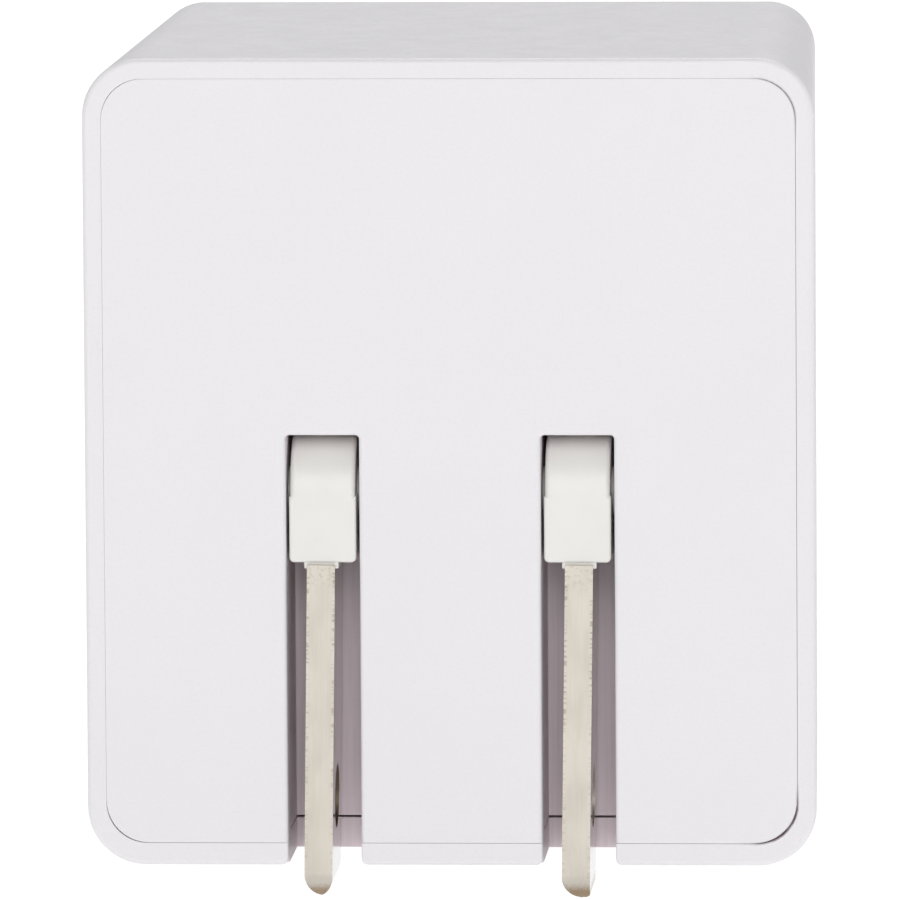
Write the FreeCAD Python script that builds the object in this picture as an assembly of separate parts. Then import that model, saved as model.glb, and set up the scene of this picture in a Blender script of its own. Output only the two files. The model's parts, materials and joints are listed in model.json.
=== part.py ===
import FreeCAD, Part
import math
import os

# USB wall charger with folding prongs. Millimetres.
# +Z is up, the plug face looks along -Y, the USB face along +Y, and +X is to the right of the plug face.
# The origin is the centre of the plug face.

V = FreeCAD.Vector
X_AXIS = V(1, 0, 0)
Y_AXIS = V(0, 1, 0)
Z_AXIS = V(0, 0, 1)
SIDES = (-1, 1)
PAST = 1.0              # how far a cutting solid runs past the face it opens

# Casing
WIDTH = 36.4            # at the plug face
HEIGHT = 40.36
DEPTH = 36.0
SIDE_DRAFT = 1.16       # each side, from the plug face to the USB face
CORNER_R_PLUG = 2.9
CORNER_R_USB = 2.4
USB_EDGE_R = 1.2        # rounding between the walls and the USB face
RIM_EDGE_R = 0.25       # rounding of the rim's outer edge
WALL = 1.5
RIM_SIDE = 0.94         # width of the rim beside the back plate
RIM_END = 1.05          # and above and below it
MOUTH_UP = 0.06         # the opening inside the rim lies a little high
MOUTH_R = 2.05
SEAM = 0.011            # groove between the rim and the back plate
SEAM_CORNERS = (0.19, 0.05, 0.04, 0.1)  # the plate's corners are rounder by this, from lower right on
SEAM_DEPTH = 0.25
SEAM_FIT = 0.01         # gap below the groove, where the two are welded
SEAM_SHIFT = (-0.006, 0.004)  # the plate lies left and high
PLATE_T = 2.0
PLATE_EDGE_R = 0.02     # rounding of the plate's front outline
SOFT_EDGE_R = 0.2       # rounding of the slots' front edges
HALF_H = HEIGHT / 2

# Prong slots and the troughs behind them
BLADE_PITCH = 12.7
SLOT_X = BLADE_PITCH / 2
SLOT_W = 3.67
SLOT_HALF = SLOT_W / 2
SLOT_DEPTH = 6.6
SLOT_TOP = 1.39
SLOT_CORNER_R = 0.2
NOTCH_EDGE_R = 0.35     # rounding where the slot leaves through the bottom wall
NOTCH_EDGE_DEPTH = 1.2  # how far back the rounding of the notch runs
TROUGH_WALL = 1.0
TROUGH_BACK = SLOT_DEPTH + 1.2
TROUGH_TOP = 3.8
FLOOR_TOP = -4.2        # the trough floor stops here, so that the blade roots can swing through
FLOOR_GAP = 0.12        # between the trough's lower end and the casing's bottom wall
CASING_FLOOR = -HALF_H + WALL

# Prong pivot
PIVOT_Y = 3.3
PIVOT_Z = SLOT_TOP - 3.1
HUB_SHIFT = -0.02       # the hub lies to one side of its end play
HUB_R = 3.0
BOSS_ROUND_W = 3.24
BOSS_BLOCK_W = 3.34
BOSS_DEPTH = 6.0
BOSS_END = 3.3          # from the pivot axis to the boss's end face
BOSS_CORNER_R = 0.25
BOSS_EDGE_R = 0.12
BOSS_RIM_R = 0.25       # rounding of the round part's rims
COLLAR_W = 1.7
COLLAR_H = 0.3
SHAFT_R = 1.2
JOURNAL_END = 11.3
DRUM_R = 2.0
DRUM_ROOM = 0.2         # round the drum, in the back of the plate
DRUM_HALF = 1.6
NOTCH_R = 0.5           # of the two detent notches in the drum
RUN_GAP = 0.06          # radial running clearance of the shaft

# Blades
BLADE_W = 6.35
BLADE_T = 1.4
BLADE_LEN = 16.84       # beyond the boss's end face
BLADE_OUT = 0.08        # each blade is this far outward of its boss's middle
BLADE_LEAN = 0.87       # degrees, both tips to the left
SHOULDER_GAP = 0.12     # from the boss's end face to where the blade widens
BLADE_TIP_R = 1.25
TIP_T = 0.2
TIP_FULLNESS = (0.4, 0.36)  # how far the curve's middle has come in, and its height up the rise
# Each tip: extra length, how far right of the middle it is, height of the curve on its left and right flats
LEFT_TIP = (0.0, 0.1, 1.1, 1.05)
RIGHT_TIP = (0.1, 0.24, 1.0, 0.24)
BLADE_HOLE_R = 1.59
BLADE_HOLE_AT = 12.1    # from the boss's end face
NECK_W = 4.4
TAB_W = 1.8
TAB_TOP = 4.6
TAB_FOOT = 1.9

# Cradle, springs and screws
CRADLE_Y = 8.8
CRADLE_T = 1.6
CRADLE_HALF = 14.2
CRADLE_LOW = -6.0
CRADLE_TOP = 7.4
POST_HALF_H = 2.0
INNER_POST = (2.05, 3.1)
OUTER_POST = (9.5, 11.1)
SPRING_Y = 8.15
SPRING_T = 0.3
SPRING_W = 3.0
SPRING_LOW = -4.0
SPRING_FOOT = 0.9       # the lower end, bent to the rear by SPRING_KICK
SPRING_KICK = 0.25
SPRING_TOP = 8.0
TAIL_END = 11.8
LEAF_W = 2.4
LEAF_BEND = 5.0         # above the pivot, where the detent leaf leaves the cradle
NOSE_DEPTH = 0.5
NOSE_HALF = 0.9
SCREW_X = 12.0
SCREW_Z = 4.8
SCREW_R = 1.0
SCREW_PILOT_R = 0.85
SCREW_LEN = 5.6
SCREW_HEAD_R = 1.9
SCREW_HEAD_H = 1.3
SCREW_POST_R = 2.1

# USB sockets
PORT_Z = {"upper": 10.4, "lower": 0.6}
SHELL_W = 13.1
SHELL_H = 5.7
SHELL_T = 0.3
SHELL_R = 0.6
SHELL_FRONT = DEPTH - 0.3
SHELL_BACK = SHELL_FRONT - 14.0
PORT_GAP = 0.12
PORT_BEVEL = 0.35
TONGUE_W = 11.1
TONGUE_T = 1.84
TONGUE_FRONT = SHELL_FRONT - 2.1
TONGUE_BASE = 4.2
TONGUE_OFFSET = 0.72    # from the socket's inner top to the tongue
CONTACT_XS = (-3.5, -1.0, 1.0, 3.5)
CONTACT_W = 1.0
CONTACT_T = 0.2

# Boards
BOARD_T = 1.2
BOARD_TOP = -15.2
BOARD_HALF = 15.0
BOARD_Y0 = 9.0
BOARD_Y1 = 34.0
USB_BOARD_Y = SHELL_BACK - BOARD_T - 0.1
USB_BOARD_HALF = 7.0
USB_BOARD_LOW = -3.0
USB_BOARD_TOP = 15.6
LEG_X0 = -14.6
LEG_X1 = -9.2
LEG_GAP = 0.1
PIN_R = 0.3
PIN_UNDER = 0.8
SHEET_Y = 12.1
SHEET_T = 0.3

# Board parts
CAP_R = 4.0
CAP_H = 11.5
CAP_X = 11.3
CAP_YS = (17.6, 26.6)
OUT_CAP_R = 2.75
OUT_CAP_H = 11.0
OUT_CAP_X = -11.4
OUT_CAP_YS = (24.9, 30.7)
CORE_Y = 23.4
CORE_HALF_W = 6.6
CORE_HALF_D = 3.6
CORE_H = 10.4
CORE_YOKE = 1.7
CORE_LEG = 1.6
CORE_OUTER = 4.9        # inner face of the core's outer legs
CORE_Z = BOARD_TOP + 1.2
FLANGE_HALF_D = 7.0
BOBBIN_GAP = 0.1
BOBBIN_T = 0.6
BOBBIN_Z0 = CORE_Z + CORE_YOKE + BOBBIN_GAP
BOBBIN_Z1 = CORE_Z + CORE_H - CORE_YOKE - BOBBIN_GAP
BOBBIN_X = CORE_LEG + BOBBIN_GAP + BOBBIN_T
BOBBIN_Y = CORE_HALF_D + BOBBIN_GAP + BOBBIN_T
WINDING_X = CORE_OUTER - 0.5
WINDING_Y = FLANGE_HALF_D - 0.4
TAPE_T = 0.2
AXIAL_Y = 10.9
AXIAL_R = 1.7
AXIAL_X0 = -11.0
AXIAL_X1 = -3.0
WIRE_R = 0.6
BRIDGE_X0 = -0.4
BRIDGE_X1 = 4.7
BRIDGE_HALF_D = 1.2
BRIDGE_LOW = BOARD_TOP + 0.8
BRIDGE_H = 6.4
BRIDGE_PINS = ((0.2, AXIAL_Y), (1.5, AXIAL_Y), (2.8, AXIAL_Y), (4.1, AXIAL_Y))

# Chips under the main board: x, y, half width, half depth, thickness, legs along each side
CONTROLLER_CHIP = (7.0, 21.4, 2.45, 1.95, 1.5, 4)
OPTOCOUPLER = (-6.6, 25.2, 1.9, 2.3, 1.9, 2)
OUTPUT_RECTIFIER = (-6.6, 16.4, 2.45, 1.6, 1.3, 4)


def box(x0, x1, y0, y1, z0, z1):
    return Part.makeBox(x1 - x0, y1 - y0, z1 - z0, V(x0, y0, z0))


def rod(radius, start, axis, length):
    return Part.makeCylinder(radius, length, V(*start), axis)


def fuse(shapes):
    return shapes[0].multiFuse(shapes[1:]).removeSplitter()


def rounded_rect(half_w, half_h, radii, y, centre_z=0.0, centre_x=0.0):
    """Closed wire in the plane of constant y: a rectangle with round corners of one radius or of four."""
    if not isinstance(radii, tuple):
        radii = (radii,) * 4
    edges = []
    corners = ((1, -1), (1, 1), (-1, 1), (-1, -1))
    ends = []
    for index, (sx, sz) in enumerate(corners):
        radius = radii[index]
        mid_x = centre_x + sx * (half_w - radius)
        mid_z = centre_z + sz * (half_h - radius)
        start = math.radians(-90 + 90 * index)
        points = []
        for step in (0, math.pi / 4, math.pi / 2):
            angle = start + step
            points.append(V(mid_x + radius * math.cos(angle), y, mid_z + radius * math.sin(angle)))
        edges.append(Part.Arc(*points).toShape())
        ends.append((points[0], points[2]))
    joined = []
    for index, edge in enumerate(edges):
        joined.append(edge)
        joined.append(Part.LineSegment(ends[index][1], ends[(index + 1) % 4][0]).toShape())
    return Part.Wire(joined)


def rounded_prism(half_w, half_h, radius, y0, y1, centre_z=0.0, centre_x=0.0):
    face = Part.Face(rounded_rect(half_w, half_h, radius, y0, centre_z, centre_x))
    return face.extrude(V(0, y1 - y0, 0))


def casing_section(y, inset):
    part_way = y / DEPTH
    half_w = WIDTH / 2 - SIDE_DRAFT * part_way - inset
    radius = CORNER_R_PLUG + (CORNER_R_USB - CORNER_R_PLUG) * part_way - inset
    return rounded_rect(half_w, HALF_H - inset, radius, y)


def casing_solid(y0, y1, inset):
    """The casing's drafted form between two depths, set in by an inset."""
    return Part.makeLoft([casing_section(y0, inset), casing_section(y1, inset)], True, True)


def mouth_section(y, gap, shift=(0.0, 0.0), rounder=(0.0, 0.0, 0.0, 0.0)):
    """Outline of the opening inside the rim, less a gap all round."""
    half_w = WIDTH / 2 - SIDE_DRAFT * y / DEPTH - RIM_SIDE - gap
    half_h = HALF_H - RIM_END - gap
    radii = tuple(MOUTH_R - gap + extra for extra in rounder)
    return rounded_rect(half_w, half_h, radii, y, MOUTH_UP + shift[1], shift[0])


def mouth_solid(y0, y1, gap):
    return Part.makeLoft([mouth_section(y0, gap), mouth_section(y1, gap)], True, True)


def plate_front():
    """The back plate's flush part with its outline's front edge taken off."""
    front = mouth_section(0, SEAM + PLATE_EDGE_R, SEAM_SHIFT, SEAM_CORNERS)
    middle = mouth_section(PLATE_EDGE_R, SEAM, SEAM_SHIFT, SEAM_CORNERS)
    rear = mouth_section(SEAM_DEPTH, SEAM, SEAM_SHIFT, SEAM_CORNERS)
    return Part.makeLoft([front, middle], True, True).fuse(Part.makeLoft([middle, rear], True, True))


def edges_at(shape, y, tolerance=1e-4):
    found = []
    for edge in shape.Edges:
        bounds = edge.BoundBox
        if abs(bounds.YMin - y) < tolerance and abs(bounds.YMax - y) < tolerance:
            found.append(edge)
    return found


def upright_edges_at(shape, x, z, tolerance=1e-3):
    """Edges along Y that lie at one x and z."""
    found = []
    for edge in shape.Edges:
        bounds = edge.BoundBox
        near_x = abs(bounds.XMin - x) < tolerance and abs(bounds.XMax - x) < tolerance
        near_z = abs(bounds.ZMin - z) < tolerance and abs(bounds.ZMax - z) < tolerance
        if near_x and near_z:
            found.append(edge)
    return found


def slot_rim_edges(shape):
    """Front edges of the slots."""
    found = []
    for edge in edges_at(shape, 0):
        middle_x = abs(edge.BoundBox.Center.x)
        if abs(middle_x - SLOT_X) < SLOT_HALF + PLATE_EDGE_R:
            found.append(edge)
    return found


def notch_rim_edges(shape):
    """Front edges of the rim, straight up both sides of each notch."""
    return [edge for edge in slot_rim_edges(shape) if edge.BoundBox.XLength < 1e-4]


def port_opening(z):
    half_w = SHELL_W / 2 + PORT_GAP
    half_h = SHELL_H / 2 + PORT_GAP
    radius = SHELL_R + PORT_GAP
    hole = rounded_prism(half_w, half_h, radius, DEPTH - WALL - PAST, DEPTH + PAST, z)
    wide = rounded_rect(half_w + PORT_BEVEL, half_h + PORT_BEVEL, radius + PORT_BEVEL, DEPTH, z)
    narrow = rounded_rect(half_w, half_h, radius, DEPTH - PORT_BEVEL, z)
    bevel = Part.makeLoft([narrow, wide], True, True)
    return hole.fuse(bevel)


def bottom_notch(side):
    """The slot's way out through the casing's bottom wall, its lower edges rounded."""
    low = -HALF_H - PAST
    x0 = side * SLOT_X - SLOT_HALF
    x1 = side * SLOT_X + SLOT_HALF
    notch = box(x0, x1, -PAST, SLOT_DEPTH, low, CASING_FLOOR + PAST)
    for x, outward in ((x0, -1), (x1, 1)):
        flare = box(min(x, x + outward * NOTCH_EDGE_R), max(x, x + outward * NOTCH_EDGE_R),
                    -PAST, NOTCH_EDGE_DEPTH, low, -HALF_H + NOTCH_EDGE_R)
        centre = (x + outward * NOTCH_EDGE_R, -PAST, -HALF_H + NOTCH_EDGE_R)
        flare = flare.cut(rod(NOTCH_EDGE_R, centre, Y_AXIS, NOTCH_EDGE_DEPTH + PAST))
        notch = notch.fuse(flare)
    return notch


def housing_shell():
    outer = casing_solid(0, DEPTH, 0)
    outer = outer.makeFillet(USB_EDGE_R, edges_at(outer, DEPTH))
    outer = outer.makeFillet(RIM_EDGE_R, edges_at(outer, 0))
    cuts = [casing_solid(PLATE_T - PAST, DEPTH - WALL, WALL)]
    cuts.append(mouth_solid(-PAST, PLATE_T, 0))
    for z in PORT_Z.values():
        cuts.append(port_opening(z))
    for side in SIDES:
        cuts.append(bottom_notch(side))
    shell = outer.cut(cuts)
    shell = shell.makeFillet(SOFT_EDGE_R / 2, notch_rim_edges(shell))
    ribs = []
    for side in SIDES:
        middle = side * (BOARD_HALF - 1.2)
        ribs.append(box(middle - 0.5, middle + 0.5, BOARD_Y0 + 0.5, DEPTH - WALL,
                        CASING_FLOOR, BOARD_TOP - BOARD_T - 0.1))
    return fuse([shell] + ribs)


def trough(side):
    middle = side * SLOT_X
    half = SLOT_HALF + TROUGH_WALL
    low = CASING_FLOOR + FLOOR_GAP
    return box(middle - half, middle + half, PLATE_T / 2, TROUGH_BACK, low, TROUGH_TOP)


def slot_cuts(side):
    middle = side * SLOT_X
    x0 = middle - SLOT_HALF
    x1 = middle + SLOT_HALF
    low = -HALF_H - PAST
    front = box(x0, x1, -PAST, PLATE_T + SLOT_CORNER_R, low, SLOT_TOP)
    rounded = upright_edges_at(front, x0, SLOT_TOP) + upright_edges_at(front, x1, SLOT_TOP)
    front = front.makeFillet(SLOT_CORNER_R, rounded)
    channel = box(x0, x1, PLATE_T, SLOT_DEPTH, low, TROUGH_TOP + PAST)
    swing_room = box(x0, x1, PLATE_T, TROUGH_BACK + PAST, FLOOR_TOP, TROUGH_TOP + PAST)
    return [front, channel, swing_room]


def bearing_notch(side):
    """Saddle through both walls of a trough, open to the rear."""
    reach = SHAFT_R + RUN_GAP
    x0 = side * SLOT_X - SLOT_HALF - TROUGH_WALL - PAST / 2
    x1 = side * SLOT_X + SLOT_HALF + TROUGH_WALL + PAST / 2
    round_end = rod(reach, (x0, PIVOT_Y, PIVOT_Z), X_AXIS, x1 - x0)
    way_in = box(x0, x1, PIVOT_Y, TROUGH_BACK + PAST, PIVOT_Z - reach, PIVOT_Z + reach)
    return round_end.fuse(way_in)


def back_plate():
    solids = [plate_front().fuse(mouth_solid(SEAM_DEPTH, PLATE_T, SEAM_FIT))]
    cuts = []
    for side in SIDES:
        solids.append(trough(side))
        post_start = (side * SCREW_X, PLATE_T / 2, SCREW_Z)
        solids.append(rod(SCREW_POST_R, post_start, Y_AXIS, CRADLE_Y - PLATE_T / 2))
        cuts += slot_cuts(side)
        cuts.append(bearing_notch(side))
        pilot_start = (side * SCREW_X, CRADLE_Y - SCREW_LEN, SCREW_Z)
        cuts.append(rod(SCREW_PILOT_R, pilot_start, Y_AXIS, SCREW_LEN + PAST))
    drum_half = DRUM_HALF + DRUM_ROOM
    cuts.append(rod(DRUM_R + DRUM_ROOM, (-drum_half, PIVOT_Y, PIVOT_Z), X_AXIS, 2 * drum_half))
    plate = fuse(solids).cut(cuts).removeSplitter()
    return plate.makeFillet(SOFT_EDGE_R, slot_rim_edges(plate))


def yz_prism(points, x0, x1):
    """A closed outline of (y, z) points, extruded along X."""
    path = [V(x0, y, z) for y, z in points]
    face = Part.Face(Part.makePolygon(path + path[:1]))
    return face.extrude(V(x1 - x0, 0, 0))


def tip_flank(middle, tip_x, tip, flat_x, rise):
    """Arc from a flat's lower end in to the tip."""
    come_in, height = TIP_FULLNESS
    outward = math.copysign(1.0, flat_x - tip_x)
    end_x = tip_x + outward * TIP_T / 2
    bulge_x = flat_x - (flat_x - end_x) * come_in
    return Part.Arc(V(middle + flat_x, 0, tip + rise), V(middle + bulge_x, 0, tip + rise * height),
                    V(middle + end_x, 0, tip + TIP_T * 0.3)).toShape()


def tip_profile(middle, tip, top, tip_x, left_rise, right_rise):
    """Prism along Y whose sides run straight down, then curve in to a narrow tip."""
    wide = BLADE_T / 2
    narrow = TIP_T / 2
    right = tip_flank(middle, tip_x, tip, wide, right_rise)
    end = Part.Arc(V(middle + tip_x + narrow, 0, tip + TIP_T * 0.3), V(middle + tip_x, 0, tip),
                   V(middle + tip_x - narrow, 0, tip + TIP_T * 0.3)).toShape()
    left = tip_flank(middle, tip_x, tip, -wide, left_rise)
    up = Part.LineSegment(V(middle - wide, 0, tip + left_rise), V(middle - wide, 0, top)).toShape()
    across = Part.LineSegment(V(middle - wide, 0, top), V(middle + wide, 0, top)).toShape()
    down = Part.LineSegment(V(middle + wide, 0, top), V(middle + wide, 0, tip + right_rise)).toShape()
    outline = Part.Face(Part.Wire(Part.__sortEdges__([right, end, left, up, across, down])))
    return outline.extrude(V(0, PIVOT_Y + BLADE_W, 0))


def blade(side):
    """Folded down: the outline lies in the YZ plane, and the bevels of the tip are cut from both flats."""
    middle = side * (SLOT_X + BLADE_OUT) + HUB_SHIFT
    x0 = middle - BLADE_T / 2
    x1 = middle + BLADE_T / 2
    half = BLADE_W / 2
    boss_end = PIVOT_Z - BOSS_END
    shoulder = boss_end - SHOULDER_GAP
    extra, tip_x, left_rise, right_rise = RIGHT_TIP if side > 0 else LEFT_TIP
    tip = boss_end - BLADE_LEN - extra
    body = box(x0, x1, PIVOT_Y - half, PIVOT_Y + half, tip, shoulder)
    corners = []
    for y in (PIVOT_Y - half, PIVOT_Y + half):
        for edge in body.Edges:
            bounds = edge.BoundBox
            flat = abs(bounds.YMin - y) < 1e-4 and abs(bounds.YMax - y) < 1e-4
            if flat and abs(bounds.ZMax - tip) < 1e-4:
                corners.append(edge)
    body = body.makeFillet(BLADE_TIP_R, corners)
    body = body.common(tip_profile(middle, tip, shoulder, tip_x, left_rise, right_rise))
    neck = box(x0, x1, PIVOT_Y - NECK_W / 2, PIVOT_Y + NECK_W / 2, shoulder, PIVOT_Z + TAB_FOOT)
    tab = box(x0, x1, PIVOT_Y - TAB_W / 2, PIVOT_Y + TAB_W / 2, PIVOT_Z, PIVOT_Z + TAB_TOP)
    hole = rod(BLADE_HOLE_R, (x0 - PAST, PIVOT_Y, boss_end - BLADE_HOLE_AT), X_AXIS, BLADE_T + 2 * PAST)
    made = fuse([body, neck, tab]).cut(hole)
    made.rotate(V(middle, PIVOT_Y, boss_end), Y_AXIS, BLADE_LEAN)
    return made


def boss(side):
    middle = side * SLOT_X + HUB_SHIFT
    round_part = rod(HUB_R, (middle - BOSS_ROUND_W / 2, PIVOT_Y, PIVOT_Z), X_AXIS, BOSS_ROUND_W)
    rims = [edge for edge in round_part.Edges if edge.BoundBox.XLength < 1e-6]
    round_part = round_part.makeFillet(BOSS_RIM_R, rims)
    half = BOSS_BLOCK_W / 2
    block = box(middle - half, middle + half, PIVOT_Y - BOSS_DEPTH / 2, PIVOT_Y + BOSS_DEPTH / 2,
                PIVOT_Z - BOSS_END, PIVOT_Z)
    corners = upright_edges_at(block, middle - half, PIVOT_Z - BOSS_END)
    corners += upright_edges_at(block, middle + half, PIVOT_Z - BOSS_END)
    block = block.makeFillet(BOSS_CORNER_R, corners)
    block = block.makeFillet(BOSS_EDGE_R, edges_at(block, PIVOT_Y - BOSS_DEPTH / 2))
    collar_x = middle + side * BLADE_OUT
    collar = box(collar_x - COLLAR_W / 2, collar_x + COLLAR_W / 2, PIVOT_Y - BOSS_DEPTH / 2 + 0.1,
                 PIVOT_Y + BOSS_DEPTH / 2 - 0.1, PIVOT_Z - BOSS_END - COLLAR_H, PIVOT_Z - BOSS_END)
    return fuse([round_part, block, collar])


def prong_hub():
    inner = SLOT_X - BOSS_ROUND_W / 2 + 0.5
    outer = SLOT_X + BOSS_ROUND_W / 2 - 0.5
    solids = [boss(-1), boss(1)]
    solids.append(rod(SHAFT_R, (HUB_SHIFT - inner, PIVOT_Y, PIVOT_Z), X_AXIS, 2 * inner))
    drum = rod(DRUM_R, (HUB_SHIFT - DRUM_HALF, PIVOT_Y, PIVOT_Z), X_AXIS, 2 * DRUM_HALF)
    for y, z in ((PIVOT_Y + DRUM_R, PIVOT_Z), (PIVOT_Y, PIVOT_Z + DRUM_R)):
        drum = drum.cut(rod(NOTCH_R, (HUB_SHIFT - DRUM_HALF, y, z), X_AXIS, 2 * DRUM_HALF))
    solids.append(drum)
    for side in SIDES:
        start = HUB_SHIFT + (outer if side > 0 else -JOURNAL_END)
        solids.append(rod(SHAFT_R, (start, PIVOT_Y, PIVOT_Z), X_AXIS, JOURNAL_END - outer))
    return fuse(solids).cut([blade(-1), blade(1)])


def cradle_post(x0, x1):
    post = box(x0, x1, PIVOT_Y + 0.3, CRADLE_Y + CRADLE_T / 2, PIVOT_Z - POST_HALF_H, PIVOT_Z + POST_HALF_H)
    return post.cut(rod(SHAFT_R + RUN_GAP, (x0 - PAST, PIVOT_Y, PIVOT_Z), X_AXIS, x1 - x0 + 2 * PAST))


def prong_cradle():
    plate = box(-CRADLE_HALF, CRADLE_HALF, CRADLE_Y, CRADLE_Y + CRADLE_T, CRADLE_LOW, CRADLE_TOP)
    solids = [plate]
    holes = []
    for side in SIDES:
        for post_xs in (INNER_POST, OUTER_POST):
            x0, x1 = sorted(side * x for x in post_xs)
            solids.append(cradle_post(x0, x1))
        middle = side * SLOT_X
        solids.append(box(middle - SPRING_W / 2, middle + SPRING_W / 2, SPRING_Y + SPRING_T,
                          CRADLE_Y + CRADLE_T / 2, TROUGH_TOP - 0.6, CRADLE_TOP))
        hole_start = (side * SCREW_X, CRADLE_Y - PAST, SCREW_Z)
        holes.append(rod(SCREW_R + 0.1, hole_start, Y_AXIS, CRADLE_T + 2 * PAST))
    return fuse(solids).cut(holes)


def cradle_screws():
    screws = []
    head_y = CRADLE_Y + CRADLE_T
    for side in SIDES:
        x = side * SCREW_X
        shank = rod(SCREW_R, (x, CRADLE_Y - SCREW_LEN + 0.4, SCREW_Z), Y_AXIS, SCREW_LEN + CRADLE_T)
        head = rod(SCREW_HEAD_R, (x, head_y, SCREW_Z), Y_AXIS, SCREW_HEAD_H)
        head = head.makeFillet(0.35, edges_at(head, head_y + SCREW_HEAD_H))
        top = head_y + SCREW_HEAD_H
        across = box(x - 1.1, x + 1.1, top - 0.7, top + PAST, SCREW_Z - 0.2, SCREW_Z + 0.2)
        down = box(x - 0.2, x + 0.2, top - 0.7, top + PAST, SCREW_Z - 1.1, SCREW_Z + 1.1)
        screws.append(fuse([shank, head]).cut([across, down]))
    return Part.makeCompound(screws)


def contact_spring(side):
    middle = side * SLOT_X
    x0 = middle - SPRING_W / 2
    x1 = middle + SPRING_W / 2
    blade_side = box(x0, x1, SPRING_Y, SPRING_Y + SPRING_T, SPRING_LOW, SPRING_TOP)
    tail = box(x0, x1, SPRING_Y, TAIL_END, SPRING_TOP - SPRING_T, SPRING_TOP)
    rear = SPRING_Y + SPRING_T
    foot_low = SPRING_LOW - SPRING_FOOT
    foot = yz_prism([(SPRING_Y, SPRING_LOW), (rear, SPRING_LOW),
                     (rear + SPRING_KICK, foot_low), (SPRING_Y + SPRING_KICK, foot_low)], x0, x1)
    return fuse([blade_side, tail, foot])


def detent_spring():
    """Leaf from the cradle's front face down to a nose behind the drum."""
    nose = PIVOT_Y + DRUM_R + RUN_GAP
    shoulder = nose + NOSE_DEPTH
    low = PIVOT_Z - NOSE_HALF
    high = PIVOT_Z + NOSE_HALF
    leaf_top = CRADLE_TOP - 1.0
    front = [(CRADLE_Y - SPRING_T, leaf_top), (CRADLE_Y - SPRING_T, PIVOT_Z + LEAF_BEND),
             (shoulder, high), (nose, PIVOT_Z), (shoulder, low)]
    rear = [(shoulder + SPRING_T, low), (nose + SPRING_T, PIVOT_Z), (shoulder + SPRING_T, high - 0.1),
            (CRADLE_Y, PIVOT_Z + LEAF_BEND - 0.1), (CRADLE_Y, leaf_top)]
    return yz_prism(front + rear, -LEAF_W / 2, LEAF_W / 2)


def lead(points, radius):
    """A wire along straight runs, with a ball at each bend."""
    solids = []
    for start, end in zip(points, points[1:]):
        run = V(*end) - V(*start)
        solids.append(Part.makeCylinder(radius, run.Length, V(*start), run))
    for point in points[1:-1]:
        solids.append(Part.makeSphere(radius, V(*point)))
    return fuse(solids)


def lead_left():
    y = TAIL_END - WIRE_R - 0.1
    top = SPRING_TOP - SPRING_T
    return lead([(-SLOT_X, y, top), (-SLOT_X, y, -4.5), (-13.6, y, -6.5), (-13.6, y, BOARD_TOP)], WIRE_R)


def lead_right():
    y = TAIL_END - WIRE_R - 0.1
    return lead([(SLOT_X, y, SPRING_TOP - SPRING_T), (SLOT_X, y, BOARD_TOP)], WIRE_R)


def insulation_sheet():
    return box(-14.4, 14.4, SHEET_Y, SHEET_Y + SHEET_T, USB_BOARD_LOW, 17.4)


def main_board():
    board = box(-BOARD_HALF, BOARD_HALF, BOARD_Y0, BOARD_Y1, BOARD_TOP - BOARD_T, BOARD_TOP)
    leg_slot = box(LEG_X0 - LEG_GAP, LEG_X1 + LEG_GAP, USB_BOARD_Y - LEG_GAP, USB_BOARD_Y + BOARD_T + LEG_GAP,
                   BOARD_TOP - BOARD_T - PAST, BOARD_TOP + PAST)
    return board.cut([leg_slot] + [pin.copy() for pin in all_pins()])


def usb_board():
    y0 = USB_BOARD_Y
    y1 = USB_BOARD_Y + BOARD_T
    panel = box(-USB_BOARD_HALF, USB_BOARD_HALF, y0, y1, USB_BOARD_LOW, USB_BOARD_TOP)
    shoulder = box(LEG_X0, -USB_BOARD_HALF, y0, y1, USB_BOARD_LOW, USB_BOARD_LOW + 8)
    leg = box(LEG_X0, LEG_X1, y0, y1, BOARD_TOP - BOARD_T, USB_BOARD_LOW)
    return fuse([panel, shoulder, leg])


def pins_down(places, top):
    """Round pins through the main board, at each (x, y), up to the height top."""
    low = BOARD_TOP - BOARD_T - PIN_UNDER
    return [rod(PIN_R, (x, y, low), Z_AXIS, top - low) for x, y in places]


def capacitor(x, y, radius, height, spacing):
    can = rod(radius, (x, y, BOARD_TOP + 0.3), Z_AXIS, height - 0.3)
    groove = Part.makeTorus(radius + 0.25, 0.5, V(x, y, BOARD_TOP + 1.8), Z_AXIS)
    can = can.cut(groove)
    return fuse([can] + pins_down([(x, y - spacing / 2), (x, y + spacing / 2)], BOARD_TOP + 0.5))


def axial_part(z, lead_xs):
    """Round body along X, with its two leads bent down to the board."""
    body = rod(AXIAL_R, (AXIAL_X0, AXIAL_Y, z), X_AXIS, AXIAL_X1 - AXIAL_X0)
    body = body.makeFillet(0.5, [edge for edge in body.Edges if edge.BoundBox.XLength < 1e-6])
    low = BOARD_TOP - BOARD_T - PIN_UNDER
    wire = lead([(lead_xs[0], AXIAL_Y, low), (lead_xs[0], AXIAL_Y, z), (lead_xs[1], AXIAL_Y, z),
                 (lead_xs[1], AXIAL_Y, low)], PIN_R)
    return fuse([body, wire])


def fuse_resistor():
    return axial_part(BOARD_TOP + AXIAL_R + 0.5, (AXIAL_X0 - 0.8, AXIAL_X1 + 0.8))


def input_choke():
    return axial_part(BOARD_TOP + 3 * AXIAL_R + 1.0, (AXIAL_X0 - 1.6, AXIAL_X1 + 1.6))


def bridge_rectifier():
    y0 = AXIAL_Y - BRIDGE_HALF_D
    y1 = AXIAL_Y + BRIDGE_HALF_D
    body = box(BRIDGE_X0, BRIDGE_X1, y0, y1, BRIDGE_LOW, BRIDGE_LOW + BRIDGE_H)
    body = body.makeChamfer(0.4, edges_at(body, y0))
    return fuse([body] + pins_down(BRIDGE_PINS, BRIDGE_LOW + 0.4))


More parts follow.
